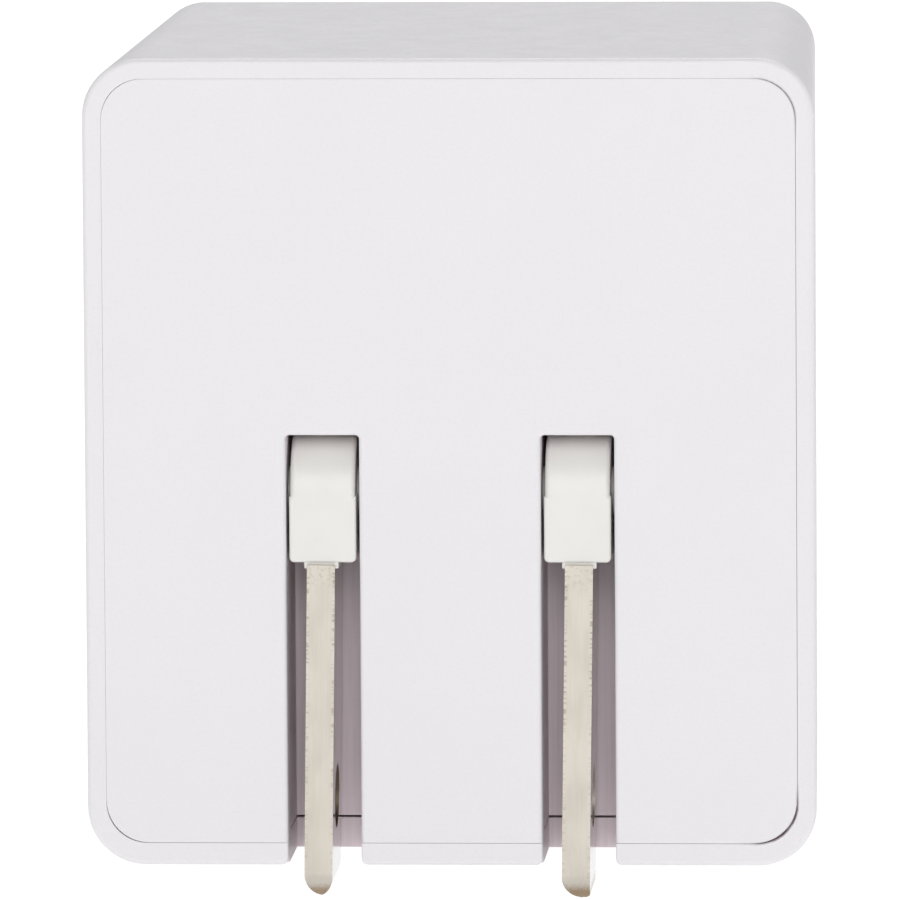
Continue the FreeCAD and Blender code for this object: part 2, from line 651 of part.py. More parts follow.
def y_capacitor():
    y0 = CORE_Y + FLANGE_HALF_D + 0.5
    disc = rod(3.5, (0, y0, BOARD_TOP + 4.2), Y_AXIS, 1.8)
    disc = disc.makeFillet(0.6, edges_at(disc, y0) + edges_at(disc, y0 + 1.8))
    return fuse([disc] + pins_down([(-2.5, y0 + 0.9), (2.5, y0 + 0.9)], BOARD_TOP + 3.0))


def transformer_core():
    half_d = CORE_HALF_D
    core = box(-CORE_HALF_W, CORE_HALF_W, CORE_Y - half_d, CORE_Y + half_d, CORE_Z, CORE_Z + CORE_H)
    windows = []
    for side in SIDES:
        xs = sorted((side * CORE_LEG, side * CORE_OUTER))
        windows.append(box(xs[0], xs[1], CORE_Y - half_d - PAST, CORE_Y + half_d + PAST,
                           CORE_Z + CORE_YOKE, CORE_Z + CORE_H - CORE_YOKE))
    return core.cut(windows)


def centred_box(half_x, half_y, z0, z1):
    return box(-half_x, half_x, CORE_Y - half_y, CORE_Y + half_y, z0, z1)


def transformer_bobbin():
    solids = [centred_box(BOBBIN_X, BOBBIN_Y, BOBBIN_Z0, BOBBIN_Z1)]
    flange_x = CORE_OUTER - BOBBIN_GAP
    for z0 in (BOBBIN_Z0, BOBBIN_Z1 - BOBBIN_T):
        solids.append(centred_box(flange_x, FLANGE_HALF_D, z0, z0 + BOBBIN_T))
    for side in SIDES:
        ys = sorted((CORE_Y + side * (CORE_HALF_D + BOBBIN_GAP), CORE_Y + side * FLANGE_HALF_D))
        solids.append(box(-flange_x, flange_x, ys[0], ys[1], BOARD_TOP, BOBBIN_Z0 + BOBBIN_T))
    leg_room = centred_box(CORE_LEG + BOBBIN_GAP, CORE_HALF_D + BOBBIN_GAP,
                           BOBBIN_Z0 - PAST, BOBBIN_Z1 + PAST)
    return fuse(solids).cut([leg_room] + transformer_pin_rods())


def transformer_winding():
    z0 = BOBBIN_Z0 + BOBBIN_T
    z1 = BOBBIN_Z1 - BOBBIN_T
    wound = centred_box(WINDING_X - TAPE_T, WINDING_Y - TAPE_T, z0, z1)
    return wound.cut(centred_box(BOBBIN_X, BOBBIN_Y, z0 - PAST, z1 + PAST))


def transformer_tape():
    z0 = BOBBIN_Z0 + BOBBIN_T
    z1 = BOBBIN_Z1 - BOBBIN_T
    band = centred_box(WINDING_X, WINDING_Y, z0, z1)
    return band.cut(centred_box(WINDING_X - TAPE_T, WINDING_Y - TAPE_T, z0 - PAST, z1 + PAST))


def transformer_pin_rods():
    places = []
    for side in SIDES:
        for x in (-3.6, 0.0, 3.6):
            places.append((x, CORE_Y + side * (FLANGE_HALF_D - 1.2)))
    return pins_down(places, BOARD_TOP + 1.6)


def transformer_pins():
    return Part.makeCompound(transformer_pin_rods())


def all_pins():
    """Every round pin or lead that passes through the main board."""
    rods = transformer_pin_rods() + pins_down(BRIDGE_PINS, BOARD_TOP + PAST)
    places = []
    for y in CAP_YS:
        places += [(CAP_X, y - 1.75), (CAP_X, y + 1.75)]
    for y in OUT_CAP_YS:
        places += [(OUT_CAP_X, y - 1.25), (OUT_CAP_X, y + 1.25)]
    for offset in (0.8, 1.6):
        places += [(AXIAL_X0 - offset, AXIAL_Y), (AXIAL_X1 + offset, AXIAL_Y)]
    y_cap = CORE_Y + FLANGE_HALF_D + 1.4
    places += [(-2.5, y_cap), (2.5, y_cap)]
    return rods + pins_down(places, BOARD_TOP + PAST)


def flat_chip(x, y, half_x, half_y, thickness, legs):
    """Package under the main board, with a row of legs along each long side."""
    top = BOARD_TOP - BOARD_T
    body = box(x - half_x, x + half_x, y - half_y, y + half_y, top - thickness, top - 0.1)
    solids = [body]
    for index in range(legs):
        leg_x = x + (index - (legs - 1) / 2) * 1.27
        solids.append(box(leg_x - 0.2, leg_x + 0.2, y - half_y - 0.9, y + half_y + 0.9, top - 0.3, top))
    return fuse(solids)


def controller_chip():
    return flat_chip(*CONTROLLER_CHIP)


def optocoupler():
    return flat_chip(*OPTOCOUPLER)


def output_rectifier():
    return flat_chip(*OUTPUT_RECTIFIER)


def usb_control_chip():
    """Package on the rear of the USB board."""
    y1 = USB_BOARD_Y
    body = box(-2.45, 2.45, y1 - 1.5, y1 - 0.1, 8.0, 11.9)
    solids = [body]
    for index in range(4):
        x = (index - 1.5) * 1.27
        solids.append(box(x - 0.2, x + 0.2, y1 - 0.3, y1, 7.1, 12.8))
    return fuse(solids)


def usb_shell(z):
    outer = rounded_prism(SHELL_W / 2, SHELL_H / 2, SHELL_R, SHELL_BACK, SHELL_FRONT, z)
    inner = rounded_prism(SHELL_W / 2 - SHELL_T, SHELL_H / 2 - SHELL_T, SHELL_R - SHELL_T,
                          SHELL_BACK - PAST, SHELL_FRONT + PAST, z)
    return outer.cut(inner)


def tongue_faces(z):
    top = z + SHELL_H / 2 - SHELL_T - TONGUE_OFFSET
    return top - TONGUE_T, top


def contact_strips(z):
    low = tongue_faces(z)[0]
    strips = []
    for x in CONTACT_XS:
        along = box(x - CONTACT_W / 2, x + CONTACT_W / 2, USB_BOARD_Y + BOARD_T, TONGUE_FRONT - 0.8,
                    low - CONTACT_T / 2, low + CONTACT_T / 2)
        strips.append(along)
    return strips


def usb_tongue(z):
    low, high = tongue_faces(z)
    base = rounded_prism(SHELL_W / 2 - SHELL_T, SHELL_H / 2 - SHELL_T, SHELL_R - SHELL_T,
                         SHELL_BACK, SHELL_BACK + TONGUE_BASE, z)
    plate = box(-TONGUE_W / 2, TONGUE_W / 2, SHELL_BACK, TONGUE_FRONT, low, high)
    plate = plate.makeChamfer(0.3, edges_at(plate, TONGUE_FRONT))
    return fuse([base, plate]).cut(contact_strips(z))


def usb_contacts(z):
    return Part.makeCompound(contact_strips(z))


def write(name, shape):
    if not shape.isValid():
        raise ValueError(name + " is not a valid shape")
    shape.exportStep("parts/" + name + ".step")


def main():
    os.makedirs("parts", exist_ok=True)
    write("housing_shell", housing_shell())
    write("back_plate", back_plate())
    write("prong_hub", prong_hub())
    write("blade_left", blade(-1))
    write("blade_right", blade(1))
    write("prong_cradle", prong_cradle())
    write("cradle_screws", cradle_screws())
    write("contact_spring_left", contact_spring(-1))
    write("contact_spring_right", contact_spring(1))
    write("detent_spring", detent_spring())
    write("lead_left", lead_left())
    write("lead_right", lead_right())
    write("insulation_sheet", insulation_sheet())
    write("main_board", main_board())
    write("usb_board", usb_board())
    write("fuse_resistor", fuse_resistor())
    write("input_choke", input_choke())
    write("bridge_rectifier", bridge_rectifier())
    write("y_capacitor", y_capacitor())
    write("transformer_core", transformer_core())
    write("transformer_bobbin", transformer_bobbin())
    write("transformer_winding", transformer_winding())
    write("transformer_tape", transformer_tape())
    write("transformer_pins", transformer_pins())
    write("controller_chip", controller_chip())
    write("optocoupler", optocoupler())
    write("output_rectifier", output_rectifier())
    write("usb_control_chip", usb_control_chip())
    for number, y in enumerate(CAP_YS, 1):
        write("bulk_capacitor_" + str(number), capacitor(CAP_X, y, CAP_R, CAP_H, 3.5))
    for number, y in enumerate(OUT_CAP_YS, 1):
        write("output_capacitor_" + str(number), capacitor(OUT_CAP_X, y, OUT_CAP_R, OUT_CAP_H, 2.5))
    for place, z in PORT_Z.items():
        write("usb_shell_" + place, usb_shell(z))
        write("usb_tongue_" + place, usb_tongue(z))
        write("usb_contacts_" + place, usb_contacts(z))


main()
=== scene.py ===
import json
import math

import bmesh
import bpy
from mathutils import Matrix, Vector


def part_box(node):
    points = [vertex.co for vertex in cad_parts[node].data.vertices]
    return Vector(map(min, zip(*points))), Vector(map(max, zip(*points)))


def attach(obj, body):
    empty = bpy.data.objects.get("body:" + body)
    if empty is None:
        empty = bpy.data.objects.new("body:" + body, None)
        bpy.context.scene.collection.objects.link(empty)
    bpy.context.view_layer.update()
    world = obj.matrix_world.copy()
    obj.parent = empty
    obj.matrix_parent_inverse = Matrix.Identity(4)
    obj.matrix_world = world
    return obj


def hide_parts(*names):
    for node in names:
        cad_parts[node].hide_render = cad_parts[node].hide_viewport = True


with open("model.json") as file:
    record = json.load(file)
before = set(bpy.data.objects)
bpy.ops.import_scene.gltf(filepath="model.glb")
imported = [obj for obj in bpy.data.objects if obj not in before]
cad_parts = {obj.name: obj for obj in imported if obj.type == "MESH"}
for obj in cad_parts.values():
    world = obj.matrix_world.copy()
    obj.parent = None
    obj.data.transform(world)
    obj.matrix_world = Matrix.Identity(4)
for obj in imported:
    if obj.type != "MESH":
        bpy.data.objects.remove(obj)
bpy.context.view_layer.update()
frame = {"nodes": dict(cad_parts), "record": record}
record = frame["record"]
nodes = frame["nodes"]
MM = 0.001

# ---------------------------------------------------------------- camera

CAMERA_PLACE = Vector((0.041645, -0.700, 0.079760))
CAMERA_YAW = -0.059383      # radians; negative is to the left of +Y
CAMERA_PITCH = -0.112315    # negative is below the horizon
CAMERA_ROLL = -0.006209
SENSOR = 36                 # mm
LENS = 568.05               # mm


def make_camera():
    ahead = Vector((math.sin(CAMERA_YAW) * math.cos(CAMERA_PITCH),
                    math.cos(CAMERA_YAW) * math.cos(CAMERA_PITCH),
                    math.sin(CAMERA_PITCH)))
    level = Vector((math.cos(CAMERA_YAW), -math.sin(CAMERA_YAW), 0))
    upright = level.cross(ahead)
    right = level * math.cos(CAMERA_ROLL) + upright * math.sin(CAMERA_ROLL)
    up = upright * math.cos(CAMERA_ROLL) - level * math.sin(CAMERA_ROLL)
    data = bpy.data.cameras.new("camera")
    data.sensor_width = SENSOR
    data.lens = LENS
    data.clip_start = 0.1
    data.clip_end = 20
    camera = bpy.data.objects.new("camera", data)
    bpy.context.scene.collection.objects.link(camera)
    turn = Matrix((right, up, -ahead)).transposed().to_4x4()
    camera.matrix_world = Matrix.Translation(CAMERA_PLACE) @ turn
    bpy.context.scene.camera = camera


# ---------------------------------------------------------------- light and floor

FLOOR_Z = -0.030
FLOOR_SIZE = 8.0
FLOOR_GLOW = 0.38           # keeps the backdrop white without burning out the object
WORLD_STRENGTH = 0.42


def area_light(name, place, width, height, power):
    data = bpy.data.lights.new(name, "AREA")
    data.shape = "RECTANGLE"
    data.size = width
    data.size_y = height
    data.energy = power
    light = bpy.data.objects.new(name, data)
    bpy.context.scene.collection.objects.link(light)
    light.location = place
    light.rotation_euler = (-Vector(place)).to_track_quat("-Z", "Y").to_euler()
    light.visible_camera = False


def make_light():
    area_light("near_camera", (0.08, -1.3, 0.18), 0.22, 0.6, 1.9)
    area_light("front_high", (0.05, -1.15, 0.6), 0.6, 0.5, 3.5)
    area_light("top_softbox", (0, 0.1, 1.4), 1.4, 1.4, 1.5)
    area_light("back_softbox", (0.1, 0.95, 1.25), 1.0, 1.0, 9.0)
    world = bpy.data.worlds.new("studio")
    world.use_nodes = True
    world.node_tree.nodes["Background"].inputs["Color"].default_value = (1, 1, 1, 1)
    world.node_tree.nodes["Background"].inputs["Strength"].default_value = WORLD_STRENGTH
    bpy.context.scene.world = world
    bpy.context.scene.view_settings.view_transform = "Standard"


def make_floor():
    mesh = bpy.data.meshes.new("floor")
    form = bmesh.new()
    bmesh.ops.create_grid(form, x_segments=8, y_segments=8, size=FLOOR_SIZE / 2)
    form.to_mesh(mesh)
    form.free()
    floor = bpy.data.objects.new("floor", mesh)
    floor.location = (0, 0, FLOOR_Z)
    bpy.context.scene.collection.objects.link(floor)
    material = bpy.data.materials.new("floor_white")
    material.use_nodes = True
    shader = material.node_tree.nodes["Principled BSDF"]
    shader.inputs["Base Color"].default_value = (0.85, 0.85, 0.85, 1)
    shader.inputs["Roughness"].default_value = 0.8
    shader.inputs["Emission Color"].default_value = (1, 1, 1, 1)
    shader.inputs["Emission Strength"].default_value = FLOOR_GLOW
    mesh.materials.append(material)


# ---------------------------------------------------------------- material building blocks

class Surface:
    """One material under construction: its shader, and the nodes that feed it. Lengths are in metres."""

    def __init__(self, name, colour, roughness, metallic=0.0):
        self.material = bpy.data.materials.new(name)
        self.material.use_nodes = True
        self.tree = self.material.node_tree
        self.shader = self.tree.nodes["Principled BSDF"]
        self.shader.inputs["Metallic"].default_value = metallic
        self.shader.inputs["Roughness"].default_value = roughness
        self.colour = self.tree.nodes.new("ShaderNodeRGB").outputs[0]
        self.colour.default_value = (*colour, 1)
        coordinates = self.tree.nodes.new("ShaderNodeTexCoord").outputs
        self.place = coordinates["Object"]
        self.facing = coordinates["Normal"]
        self.height = None

    def node(self, kind, values=None, **settings):
        made = self.tree.nodes.new(kind)
        for key, value in settings.items():
            setattr(made, key, value)
        for key, value in (values or {}).items():
            if isinstance(value, bpy.types.NodeSocket):
                self.tree.links.new(value, made.inputs[key])
            else:
                made.inputs[key].default_value = value
        return made

    def math(self, operation, first, second=0.0, clamp=False):
        made = self.node("ShaderNodeMath", {0: first, 1: second}, operation=operation, use_clamp=clamp)
        return made.outputs[0]

    def axis(self, name):
        return self.node("ShaderNodeSeparateXYZ", {0: self.place}).outputs[name]

    def noise(self, size, detail, stretch=(1, 1, 1)):
        """Noise from 0 to 1 with features of a size, drawn out along an axis whose stretch is over 1."""
        scale = [1 / (size * part) for part in stretch]
        spread = self.node("ShaderNodeMapping", {"Vector": self.place, "Scale": scale})
        made = self.node("ShaderNodeTexNoise", {"Vector": spread.outputs[0], "Scale": 1.0,
                                                "Detail": detail, "Roughness": 0.5})
        return made.outputs["Fac"]

    def specks(self, spacing, radius):
        """1 in small round specks, 0 between them."""
        made = self.node("ShaderNodeTexVoronoi", {"Vector": self.place, "Scale": 1 / spacing})
        return self.ramp(made.outputs["Distance"], radius / spacing, radius / spacing * 0.5)

    def ramp(self, value, low, high, out_low=0.0, out_high=1.0):
        made = self.node("ShaderNodeMapRange", {"Value": value, "From Min": low, "From Max": high,
                                                "To Min": out_low, "To Max": out_high})
        made.interpolation_type = "SMOOTHSTEP"
        return made.outputs["Result"]

    def tint(self, share, colour):
        """Mixes a colour in by a share from 0 to 1."""
        mixer = self.node("ShaderNodeMix", {0: share, 6: self.colour, 7: (*colour, 1)}, data_type="RGBA")
        self.colour = mixer.outputs[2]

    def roughness(self, value, low, high):
        self.tree.links.new(self.ramp(value, 0.25, 0.75, low, high), self.shader.inputs["Roughness"])

    def raise_by(self, value, height):
        """Adds a relief of a height, in metres."""
        part = self.math("MULTIPLY", value, height)
        self.height = part if self.height is None else self.math("ADD", self.height, part)

    def done(self):
        self.tree.links.new(self.colour, self.shader.inputs["Base Color"])
        if self.height is not None:
            relief = self.node("ShaderNodeBump", {"Height": self.height, "Strength": 1.0, "Distance": 1.0})
            self.tree.links.new(relief.outputs[0], self.shader.inputs["Normal"])
        return self.material


def darker(colour, share):
    return tuple(part * (1 - share) for part in colour)


# ---------------------------------------------------------------- the materials

CASING_COLOUR = (0.817, 0.80, 0.825)
TROUGH_PAINTED_SHADE = (0.9, 0.8, 0.84)
NOTCH_PAINTED_SHADE = (0.83, 0.73, 0.77)
SLOT_PAINTED_SHADE_FROM = 0.15 * MM  # how far in the slots' painted shade starts, and where it is full
SLOT_PAINTED_SHADE_TO = 2.2 * MM
SLOT_MIDDLE = 6.35 * MM     # of each slot, from the middle of the face
SLOT_REACH = 1.95 * MM      # from a slot's middle to past its walls
SLOT_TOP = 1.5 * MM         # just over the slots' upper ends
SLOT_DEEP = 8 * MM          # behind the slots' floors
SEAM_R = 2.03 * MM          # middle of the seam, round a corner of the plate
SEAM_SHADE_DEEP = 0.6 * MM       # behind the plug face
SEAM_SHADE_COLOUR = (0.15, 0.075, 0.095)
SEAM_SHADE_CORNERS = ((1, -1, 0.8), (1, 1, 0.3))    # side and height of each corner with painted shade in its seam, and how dark it is
BLADE_LEAN = math.radians(0.87)
HOLE_UP = 4.74 * MM         # from a blade's tip to the middle of its hole
HOLE_R = 1.59 * MM
ROOT_UP = 16.5 * MM         # from a blade's tip to the collar it stands in
WEAVE = 9000                # radians per metre: a thread about every 0.7 mm


def casing_plastic(name):
    """Satin moulded polycarbonate: spark-eroded grain, faint mottling, a few specks of dust."""
    made = Surface(name, CASING_COLOUR, 0.42)
    made.tint(made.ramp(made.noise(9 * MM, 2), 0.4, 0.7, 0, 0.5), darker(CASING_COLOUR, 0.02))
    made.tint(made.ramp(made.noise(0.16 * MM, 2), 0.45, 0.75, 0, 0.5), darker(CASING_COLOUR, 0.05))
    made.tint(made.math("MULTIPLY", made.specks(4.5 * MM, 0.07 * MM), 0.25), (0.35, 0.31, 0.28))
    made.roughness(made.noise(1.4 * MM, 3), 0.38, 0.48)
    made.raise_by(made.noise(0.11 * MM, 2), 0.0022 * MM)
    made.raise_by(made.noise(1.2 * MM, 2), 0.0012 * MM)
    return made


def painted_slot_shade(made, colour):
    """Painted shade: inside the slots the plastic is painted a little darker and warmer than on the face,
    fully so deeper in.
    """
    inside = made.ramp(made.axis("Y"), SLOT_PAINTED_SHADE_FROM, SLOT_PAINTED_SHADE_TO)
    shaded = made.math("MULTIPLY", inside, slot_mask(made))
    made.tint(shaded, colour)
    # darker streaks along the slots, part of the painted shade
    drawn = made.ramp(made.noise(0.22 * MM, 2, stretch=(1, 1, 40)), 0.42, 0.66)
    made.tint(made.math("MULTIPLY", shaded, made.math("MULTIPLY", drawn, 0.5)), darker(colour, 0.12))


def slot_mask(made):
    """1 inside the two slots, 0 elsewhere."""
    aside = made.math("ABSOLUTE", made.axis("X"))
    from_slot = made.math("ABSOLUTE", made.math("SUBTRACT", aside, SLOT_MIDDLE))
    beside = made.math("LESS_THAN", from_slot, SLOT_REACH)
    within = made.math("MULTIPLY", made.math("LESS_THAN", made.axis("Z"), SLOT_TOP),
                       made.math("LESS_THAN", made.axis("Y"), SLOT_DEEP))
    return made.math("MULTIPLY", beside, within)


def painted_seam_shade(made, side, height, share):
    """Painted shade in the seam round one corner of the plate, fading out along both straights."""
    low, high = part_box("back_plate")
    edge_x = high.x if side > 0 else -low.x
    edge_z = high.z if height > 0 else -low.z
    past_x = made.math("SUBTRACT", made.math("MULTIPLY", made.axis("X"), side), edge_x - SEAM_R)
    past_z = made.math("SUBTRACT", made.math("MULTIPLY", made.axis("Z"), height), edge_z - SEAM_R)
    beyond_x = made.math("MAXIMUM", past_x, 0.0)
    beyond_z = made.math("MAXIMUM", past_z, 0.0)
    reach = made.math("SQRT", made.math("ADD", made.math("MULTIPLY", beyond_x, beyond_x),
                                        made.math("MULTIPLY", beyond_z, beyond_z)))
    off = made.math("ABSOLUTE", made.math("SUBTRACT", reach, SEAM_R))
    line = made.ramp(off, 0.1 * MM, 0.04 * MM, 0, share)
    up_the_side = made.ramp(past_z, -1.4 * MM, 0.6 * MM)
    along_the_end = made.ramp(past_x, -1.2 * MM, 1.4 * MM)
    fade = made.math("MULTIPLY", up_the_side, along_the_end)
    patchy = made.math("MULTIPLY", made.ramp(made.noise(0.5 * MM, 2), 0.3, 0.6, 0.6, 1),
                       made.math("LESS_THAN", made.axis("Y"), SEAM_SHADE_DEEP))
    made.tint(made.math("MULTIPLY", made.math("MULTIPLY", line, fade), patchy), SEAM_SHADE_COLOUR)


def plate_plastic(name):
    """Casing plastic, with painted shade in the troughs and at the seam."""
    made = casing_plastic(name)
    # painted shade in the troughs
    painted_slot_shade(made, TROUGH_PAINTED_SHADE)
    # painted shade in the seam round two corners
    for shade_corner in SEAM_SHADE_CORNERS:
        painted_seam_shade(made, *shade_corner)
    return made.done()


def shell_plastic(name):
    """Casing plastic with a coarser grain on its top and bottom walls."""
    made = casing_plastic(name)
    # painted shade in the notches
    painted_slot_shade(made, NOTCH_PAINTED_SHADE)
    # painted shade in the seam round two corners
    for shade_corner in SEAM_SHADE_CORNERS:
        painted_seam_shade(made, *shade_corner)
    upward = made.node("ShaderNodeSeparateXYZ", {0: made.facing}).outputs["Z"]
    wall = made.ramp(made.math("ABSOLUTE", upward), 0.6, 0.9)
    grain = made.noise(0.3 * MM, 2)
    made.tint(made.math("MULTIPLY", wall, made.ramp(grain, 0.48, 0.66, 0, 0.6)), darker(CASING_COLOUR, 0.1))
    patches = made.ramp(made.noise(1.6 * MM, 3), 0.4, 0.62, 0, 0.5)
    made.tint(made.math("MULTIPLY", wall, patches), darker(CASING_COLOUR, 0.06))
    made.raise_by(made.math("MULTIPLY", wall, grain), 0.005 * MM)
    return made.done()


def hub_plastic(name):
    """Smoother, slightly warmer nylon."""
    colour = (0.82, 0.81, 0.78)
    made = Surface(name, colour, 0.36)
    made.tint(made.ramp(made.noise(2.2 * MM, 2), 0.4, 0.7, 0, 0.6), darker(colour, 0.03))
    made.tint(made.ramp(made.noise(0.2 * MM, 3), 0.6, 0.8, 0, 0.4), darker(colour, 0.08))
    made.roughness(made.noise(0.8 * MM, 3), 0.30, 0.42)
    made.raise_by(made.noise(0.5 * MM, 3), 0.0015 * MM)
    return made.done()


def off_blade_middle(made):
    """How far a point is from the middle plane of its leaning blade."""
    left = sum(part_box("blade_left"), Vector()) / 2
    right = sum(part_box("blade_right"), Vector()) / 2
    lean = made.math("MULTIPLY", made.math("SUBTRACT", made.axis("Z"), left.z), math.tan(BLADE_LEAN))
    upright = made.math("SUBTRACT", made.math("SUBTRACT", made.axis("X"), lean), (left.x + right.x) / 2)
    off = made.math("SUBTRACT", made.math("ABSOLUTE", upright), (right.x - left.x) / 2)
    return made.math("ABSOLUTE", off)


def edge_ticks(made, at_edge):
    """Short dark ticks along the sheared edges, stronger towards the root."""
    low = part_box("blade_left")[0]
    ticks = made.ramp(made.noise(0.13 * MM, 2, stretch=(6, 6, 1)), 0.5, 0.58)
    patches = made.ramp(made.noise(1.5 * MM, 2), 0.36, 0.56, 0.25, 1)
    rising = made.ramp(made.axis("Z"), low.z + 2 * MM, low.z + 12 * MM, 0.22, 0.58)
    marked = made.math("MULTIPLY", made.math("MULTIPLY", at_edge, ticks), patches)
    made.tint(made.math("MULTIPLY", marked, rising), (0.24, 0.17, 0.12))


def root_stains(made):
    """Small stains where the blade leaves its collar."""
    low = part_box("blade_left")[0]
    near_root = made.ramp(made.axis("Z"), low.z + ROOT_UP - 1.6 * MM, low.z + ROOT_UP)
    stains = made.ramp(made.noise(0.16 * MM, 3), 0.5, 0.66)
    made.tint(made.math("MULTIPLY", made.math("MULTIPLY", near_root, stains), 0.3), (0.36, 0.26, 0.20))


def painted_hole_shade(made):
    """Painted shade: a dark ring round the edge of the blade's hole and down its bore, fainter on the right
    blade.
    """
    low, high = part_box("blade_left")
    from_axis_y = made.math("SUBTRACT", made.axis("Y"), (low.y + high.y) / 2)
    from_axis_z = made.math("SUBTRACT", made.axis("Z"), low.z + HOLE_UP)
    reach = made.math("SQRT", made.math("ADD", made.math("MULTIPLY", from_axis_y, from_axis_y),
                                        made.math("MULTIPLY", from_axis_z, from_axis_z)))
    ring = made.ramp(reach, HOLE_R + 0.12 * MM, HOLE_R + 0.03 * MM, 0, 0.85)
    blade_share = made.ramp(made.axis("X"), -1 * MM, 1 * MM, 1, 0.25)
    made.tint(made.math("MULTIPLY", ring, blade_share), (0.16, 0.11, 0.075))


def painted_tip_shade(made):
    """Painted shade: the tip is painted a darker, warmer colour below a speckled line."""
    tip_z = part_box("blade_left")[0].z
    speckled = made.math("MULTIPLY", made.noise(0.12 * MM, 2), 0.4 * MM)
    tip_shade = made.ramp(made.math("ADD", made.axis("Z"), speckled), tip_z + 1.0 * MM, tip_z + 0.45 * MM)
    made.tint(made.math("MULTIPLY", tip_shade, 0.9), (0.34, 0.245, 0.155))


def blade_nickel(name):
    """Nickel plate over stamped brass: burnished flats and matt sheared edges."""
    made = Surface(name, (0.61, 0.57, 0.505), 0.5, 1.0)
    lengthwise = made.noise(0.05 * MM, 3, stretch=(1, 1, 30))
    cloudy = made.noise(1.1 * MM, 3, stretch=(1, 1, 2))
    made.tint(made.ramp(cloudy, 0.4, 0.7, 0, 0.3), (0.56, 0.515, 0.445))
    made.tint(made.ramp(lengthwise, 0.35, 0.7, 0, 0.3), (0.66, 0.635, 0.59))
    sideways = made.node("ShaderNodeSeparateXYZ", {0: made.facing}).outputs["X"]
    flat = made.ramp(made.math("ABSOLUTE", sideways), 0.55, 0.85)
    made.tint(flat, (0.70, 0.68, 0.67))
    made.tint(made.math("MULTIPLY", flat, made.ramp(lengthwise, 0.5, 0.75, 0, 0.25)), (0.58, 0.55, 0.51))
    at_edge = made.math("SUBTRACT", made.ramp(off_blade_middle(made), 0.5 * MM, 0.66 * MM), flat, clamp=True)
    made.tint(made.math("MULTIPLY", at_edge, 0.25), (0.70, 0.66, 0.60))
    edge_ticks(made, at_edge)
    root_stains(made)
    # painted shade in and round the hole
    painted_hole_shade(made)
    # painted shade on the tip
    painted_tip_shade(made)
    matt = made.ramp(cloudy, 0.25, 0.75, 0.46, 0.56)
    gloss = made.ramp(lengthwise, 0.25, 0.75, 0.14, 0.22)
    both = made.node("ShaderNodeMix", {0: flat, 2: matt, 3: gloss}, data_type="FLOAT")
    made.tree.links.new(both.outputs[0], made.shader.inputs["Roughness"])
    made.raise_by(lengthwise, 0.0015 * MM)
    return made.done()


def sheet_metal(name, colour):
    """Rolled or plated sheet with fine lines along its grain and a little tarnish."""
    roughness = 0.3
    made = Surface(name, colour, roughness, 1.0)
    lines = made.noise(0.05 * MM, 3, stretch=(1, 12, 1))
    tarnish = made.noise(1.6 * MM, 4)
    made.tint(made.ramp(tarnish, 0.5, 0.75, 0, 0.5), darker(colour, 0.3))
    made.roughness(lines, roughness * 0.8, roughness * 1.25)
    made.raise_by(lines, 0.0012 * MM)
    return made.done()


def moulded(name, colour):
    """Dark or coloured moulded resin with a fine grain."""
    roughness = 0.5
    made = Surface(name, colour, roughness)
    made.tint(made.ramp(made.noise(1.5 * MM, 3), 0.45, 0.75, 0, 0.6), darker(colour, 0.25))
    made.roughness(made.noise(0.3 * MM, 3), roughness * 0.85, roughness * 1.15)
    made.raise_by(made.noise(0.08 * MM, 2), 0.003 * MM)
    return made.done()


def laminate(name, colour):
    """Solder resist over woven glass, with the weave just showing."""
    made = Surface(name, colour, 0.35)
    across = made.math("SINE", made.math("MULTIPLY", made.axis("X"), WEAVE))
    along = made.math("SINE", made.math("MULTIPLY", made.axis("Z"), WEAVE))
    weave = made.math("MULTIPLY", across, along)
    made.tint(made.ramp(weave, -1, 1, 0, 0.35), darker(colour, 0.35))
    made.raise_by(weave, 0.002 * MM)
    made.roughness(made.noise(1.0 * MM, 2), 0.3, 0.42)
    return made.done()


# ---------------------------------------------------------------- USB socket shells

SHEET = 0.3 * MM
FOLD_R = 0.45 * MM          # middle of the sheet, at the four folds
SEAM_HALF = 0.03 * MM
CUT = 0.22 * MM             # width of the slit round a spring finger
FINGER_HALF = 0.9 * MM
FINGER_X = 3.1 * MM
FINGER_ROOT = 8.6 * MM      # from the socket's mouth
FINGER_TIP = 2.6 * MM
FINGER_DIP = 0.42 * MM      # how far a finger leans in
FINGER_CURL = 0.72          # of half a wave, so a finger's tip turns back out a little
LIP = 0.4 * MM
LIP_OUT = 0.09 * MM
SHEET_EDGE = 0.05 * MM      # bevel along the sheet's edges


def finger_stops(middle):
    """Where a wall has to be divided for a finger and the slits beside it."""
    outer = FINGER_HALF + CUT
    return [middle - outer, middle - FINGER_HALF, middle, middle + FINGER_HALF, middle + outer]


